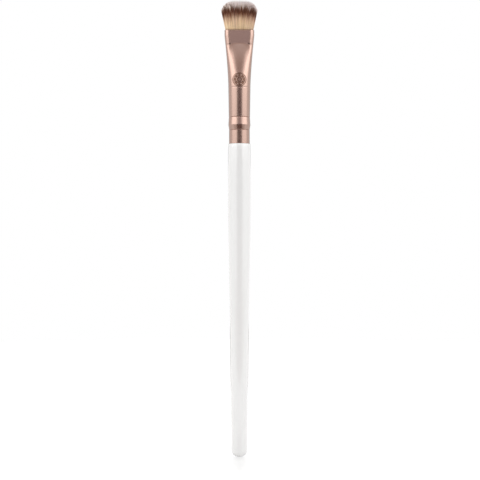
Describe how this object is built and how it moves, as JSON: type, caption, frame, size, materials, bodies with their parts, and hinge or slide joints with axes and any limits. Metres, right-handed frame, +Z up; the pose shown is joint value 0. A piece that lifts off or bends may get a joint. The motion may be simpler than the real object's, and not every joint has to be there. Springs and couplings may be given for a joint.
{
  "type": "eyeshadow brush",
  "caption": "Slim eyeshadow brush: turned lacquered handle, metal ferrule with a rolled bead and a flat-pressed mouth, and a short domed tuft of two-tone filaments.",
  "frame": {"origin": "lowest point of the handle's rounded end, on the brush's axis", "axes": "+Z up the axis from the handle to the tuft, X across the width of the flat head, -Y out of its front face"},
  "size_m": [0.0137, 0.0088, 0.175],
  "materials": {
    "white_lacquer_on_wood": "gloss lacquer",
    "rose_bronze_aluminium": "satin anodised",
    "cured_glue": "cast",
    "potting_resin": "cast",
    "cotton_thread": "twisted",
    "two_tone_filament": "fine tapered filaments, tan at the root, dark brown above and pale at the tips"
  },
  "bodies": {
    "root": {"handle": "white_lacquer_on_wood", "ferrule": "rose_bronze_aluminium", "handle_glue": "cured_glue", "resin_plug": "potting_resin", "tie_thread": "cotton_thread", "bristle_tuft": "two_tone_filament"}
  },
  "joints": []
}
